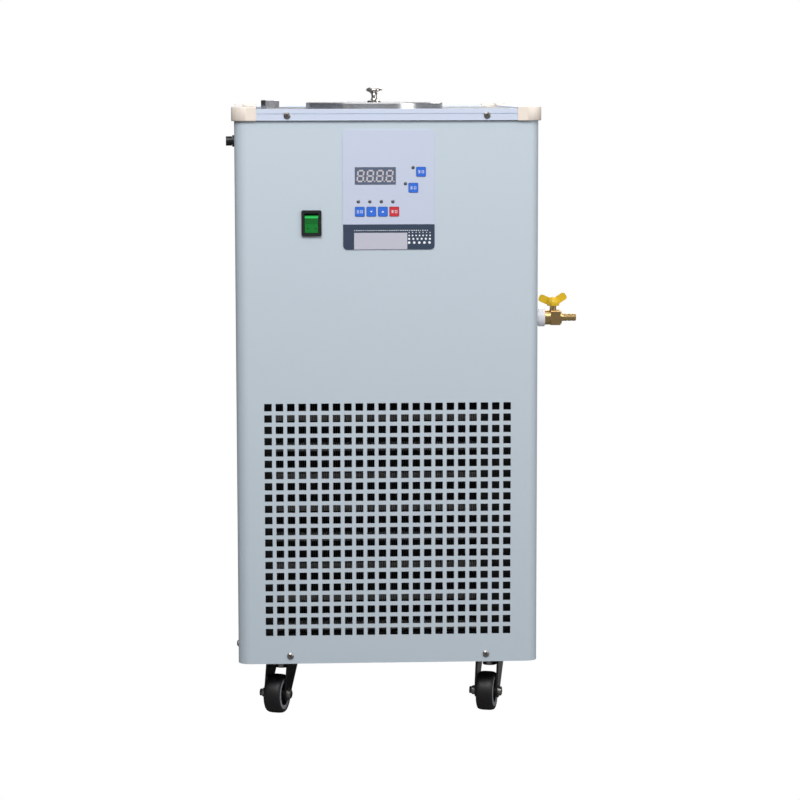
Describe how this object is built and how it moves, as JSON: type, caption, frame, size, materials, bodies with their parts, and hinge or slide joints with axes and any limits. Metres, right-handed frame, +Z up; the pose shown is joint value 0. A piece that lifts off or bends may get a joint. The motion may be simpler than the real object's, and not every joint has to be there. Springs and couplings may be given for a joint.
{
  "type": "recirculating chiller",
  "caption": "Floor-standing recirculating chiller: cabinet on swivel casters with a square-hole air grille, membrane controls, lidded coolant tank and side drain valve.",
  "frame": {"origin": "centre of the overall footprint, on the floor under the casters", "axes": "+X to the viewer's right when facing the controls, -Y out of the front, +Z up"},
  "size_m": [0.4602, 0.5926, 0.7964],
  "materials": {
    "body_paint": "satin powder coat",
    "structure_steel": "galvanised sheet",
    "shroud_black": "black paint",
    "trim_aluminium": "anodised",
    "top_steel": "polished stainless",
    "cap_cream": "moulded",
    "screw_steel": "zinc plated",
    "overlay_print": "printed film",
    "display_window": "smooth",
    "lamp_dark": "smooth",
    "board_green": "solder mask",
    "black_plastic": "moulded",
    "key_blue": "moulded",
    "key_red": "moulded",
    "rocker_green": "moulded",
    "stainless": "drawn",
    "foam_black": "closed-cell foam",
    "white_plastic": "moulded",
    "brass": "turned",
    "handle_yellow": "enamel",
    "fin_aluminium": "fin stock",
    "copper": "drawn copper",
    "fan_plastic": "moulded",
    "machine_black": "black enamel",
    "rubber_black": "moulded",
    "pump_grey": "painted",
    "hose_grey": "extruded",
    "caster_black": "black enamel",
    "zinc": "zinc plated",
    "hub_grey": "moulded",
    "tyre_black": "smooth"
  },
  "bodies": {
    "cabinet": {"base_tray": "structure_steel", "inner_frame": "structure_steel", "front_panel": "body_paint", "left_side_panel": "body_paint", "right_side_panel": "body_paint", "rear_panel": "body_paint", "top_plate": "top_steel", "edge_trims": "trim_aluminium", "corner_caps": "cap_cream", "panel_screws": "screw_steel", "control_overlay": "overlay_print", "display_module": "display_window", "indicator_lamps": "lamp_dark", "control_board": "board_green", "switch_housing": "black_plastic", "fuse_holder": "black_plastic", "tank": "stainless", "tank_floor": "stainless", "tank_insulation": "foam_black", "tank_lid": "stainless", "lid_knob": "screw_steel", "filler_plug": "stainless", "panel_sleeve": "white_plastic", "valve_body": "brass", "condenser_fins": "fin_aluminium", "condenser_tube": "copper", "fan_shroud": "shroud_black", "fan_motor": "machine_black", "compressor": "machine_black", "compressor_mounts": "rubber_black", "evaporator": "stainless", "pump": "pump_grey", "coolant_pipes": "hose_grey", "refrigerant_pipes": "copper", "coolant_nozzles": "brass", "cable_gland": "black_plastic", "caster_stems": "zinc"},
    "rocker": {"rocker": "rocker_green"},
    "valve_handle": {"valve_handle": "handle_yellow", "valve_ball": "brass"},
    "fan": {"fan": "fan_plastic"},
    "fuse_cap": {"fuse_cap": "black_plastic"},
    "key_set": {"key_set": "key_blue"},
    "key_down": {"key_down": "key_blue"},
    "key_up": {"key_up": "key_blue"},
    "key_stop": {"key_stop": "key_red"},
    "key_pump": {"key_pump": "key_blue"},
    "key_cool": {"key_cool": "key_blue"},
    "caster_front_left": {"caster_fork_front_left": "caster_black"},
    "wheel_front_left": {"wheel_hub_front_left": "hub_grey", "tyre_front_left": "tyre_black"},
    "caster_front_right": {"caster_fork_front_right": "caster_black"},
    "wheel_front_right": {"wheel_hub_front_right": "hub_grey", "tyre_front_right": "tyre_black"},
    "caster_rear_left": {"caster_fork_rear_left": "caster_black"},
    "wheel_rear_left": {"wheel_hub_rear_left": "hub_grey", "tyre_rear_left": "tyre_black"},
    "caster_rear_right": {"caster_fork_rear_right": "caster_black"},
    "wheel_rear_right": {"wheel_hub_rear_right": "hub_grey", "tyre_rear_right": "tyre_black"}
  },
  "joints": [
    {"name": "rocker_tilt", "type": "hinge", "parent": "cabinet", "child": "rocker", "pos_m": [-0.1241, -0.2867, 0.6289], "axis": [-1, 0, 0], "range_deg": [0, 20]},
    {"name": "drain_valve_turn", "type": "hinge", "parent": "cabinet", "child": "valve_handle", "pos_m": [0.1997, -0.0907, 0.4925], "axis": [0, 0, 1], "range_deg": [0, 90]},
    {"name": "fan_spin", "type": "hinge", "parent": "cabinet", "child": "fan", "pos_m": [-0.0411, -0.1887, 0.2556], "axis": [0, 1, 0], "continuous": true},
    {"name": "fuse_cap_turn", "type": "hinge", "parent": "cabinet", "child": "fuse_cap", "pos_m": [-0.2191, -0.2107, 0.7293], "axis": [-1, 0, 0], "range_deg": [0, 90]},
    {"name": "key_set_press", "type": "slide", "parent": "cabinet", "child": "key_set", "axis": [0, 1, 0], "range_m": [0, 0.0004], "stiffness_N_per_m": 2500, "springref_m": -0.0002},
    {"name": "key_down_press", "type": "slide", "parent": "cabinet", "child": "key_down", "axis": [0, 1, 0], "range_m": [0, 0.0004], "stiffness_N_per_m": 2500, "springref_m": -0.0002},
    {"name": "key_up_press", "type": "slide", "parent": "cabinet", "child": "key_up", "axis": [0, 1, 0], "range_m": [0, 0.0004], "stiffness_N_per_m": 2500, "springref_m": -0.0002},
    {"name": "key_stop_press", "type": "slide", "parent": "cabinet", "child": "key_stop", "axis": [0, 1, 0], "range_m": [0, 0.0004], "stiffness_N_per_m": 2500, "springref_m": -0.0002},
    {"name": "key_pump_press", "type": "slide", "parent": "cabinet", "child": "key_pump", "axis": [0, 1, 0], "range_m": [0, 0.0004], "stiffness_N_per_m": 2500, "springref_m": -0.0002},
    {"name": "key_cool_press", "type": "slide", "parent": "cabinet", "child": "key_cool", "axis": [0, 1, 0], "range_m": [0, 0.0004], "stiffness_N_per_m": 2500, "springref_m": -0.0002},
    {"name": "swivel_front_left", "type": "hinge", "parent": "cabinet", "child": "caster_front_left", "pos_m": [-0.1636, -0.2307, 0.063], "axis": [0, 0, 1], "continuous": true},
    {"name": "roll_front_left", "type": "hinge", "parent": "caster_front_left", "child": "wheel_front_left", "pos_m": [-0.17044, -0.24949, 0.025], "axis": [0.9397, -0.342, 0], "continuous": true},
    {"name": "swivel_front_right", "type": "hinge", "parent": "cabinet", "child": "caster_front_right", "pos_m": [0.1044, -0.2307, 0.063], "axis": [0, 0, 1], "continuous": true},
    {"name": "roll_front_right", "type": "hinge", "parent": "caster_front_right", "child": "wheel_front_right", "pos_m": [0.09922, -0.25001, 0.025], "axis": [0.9659, -0.2588, 0], "continuous": true},
    {"name": "swivel_rear_left", "type": "hinge", "parent": "cabinet", "child": "caster_rear_left", "pos_m": [-0.1636, 0.1993, 0.063], "axis": [0, 0, 1], "continuous": true},
    {"name": "roll_rear_left", "type": "hinge", "parent": "caster_rear_left", "child": "wheel_rear_left", "pos_m": [-0.15546, 0.18103, 0.025], "axis": [0.9135, 0.4067, 0], "continuous": true},
    {"name": "swivel_rear_right", "type": "hinge", "parent": "cabinet", "child": "caster_rear_right", "pos_m": [0.1044, 0.1993, 0.063], "axis": [0, 0, 1], "continuous": true},
    {"name": "roll_rear_right", "type": "hinge", "parent": "caster_rear_right", "child": "wheel_rear_right", "pos_m": [0.09501, 0.18165, 0.025], "axis": [0.8829, -0.4695, 0], "continuous": true}
  ]
}
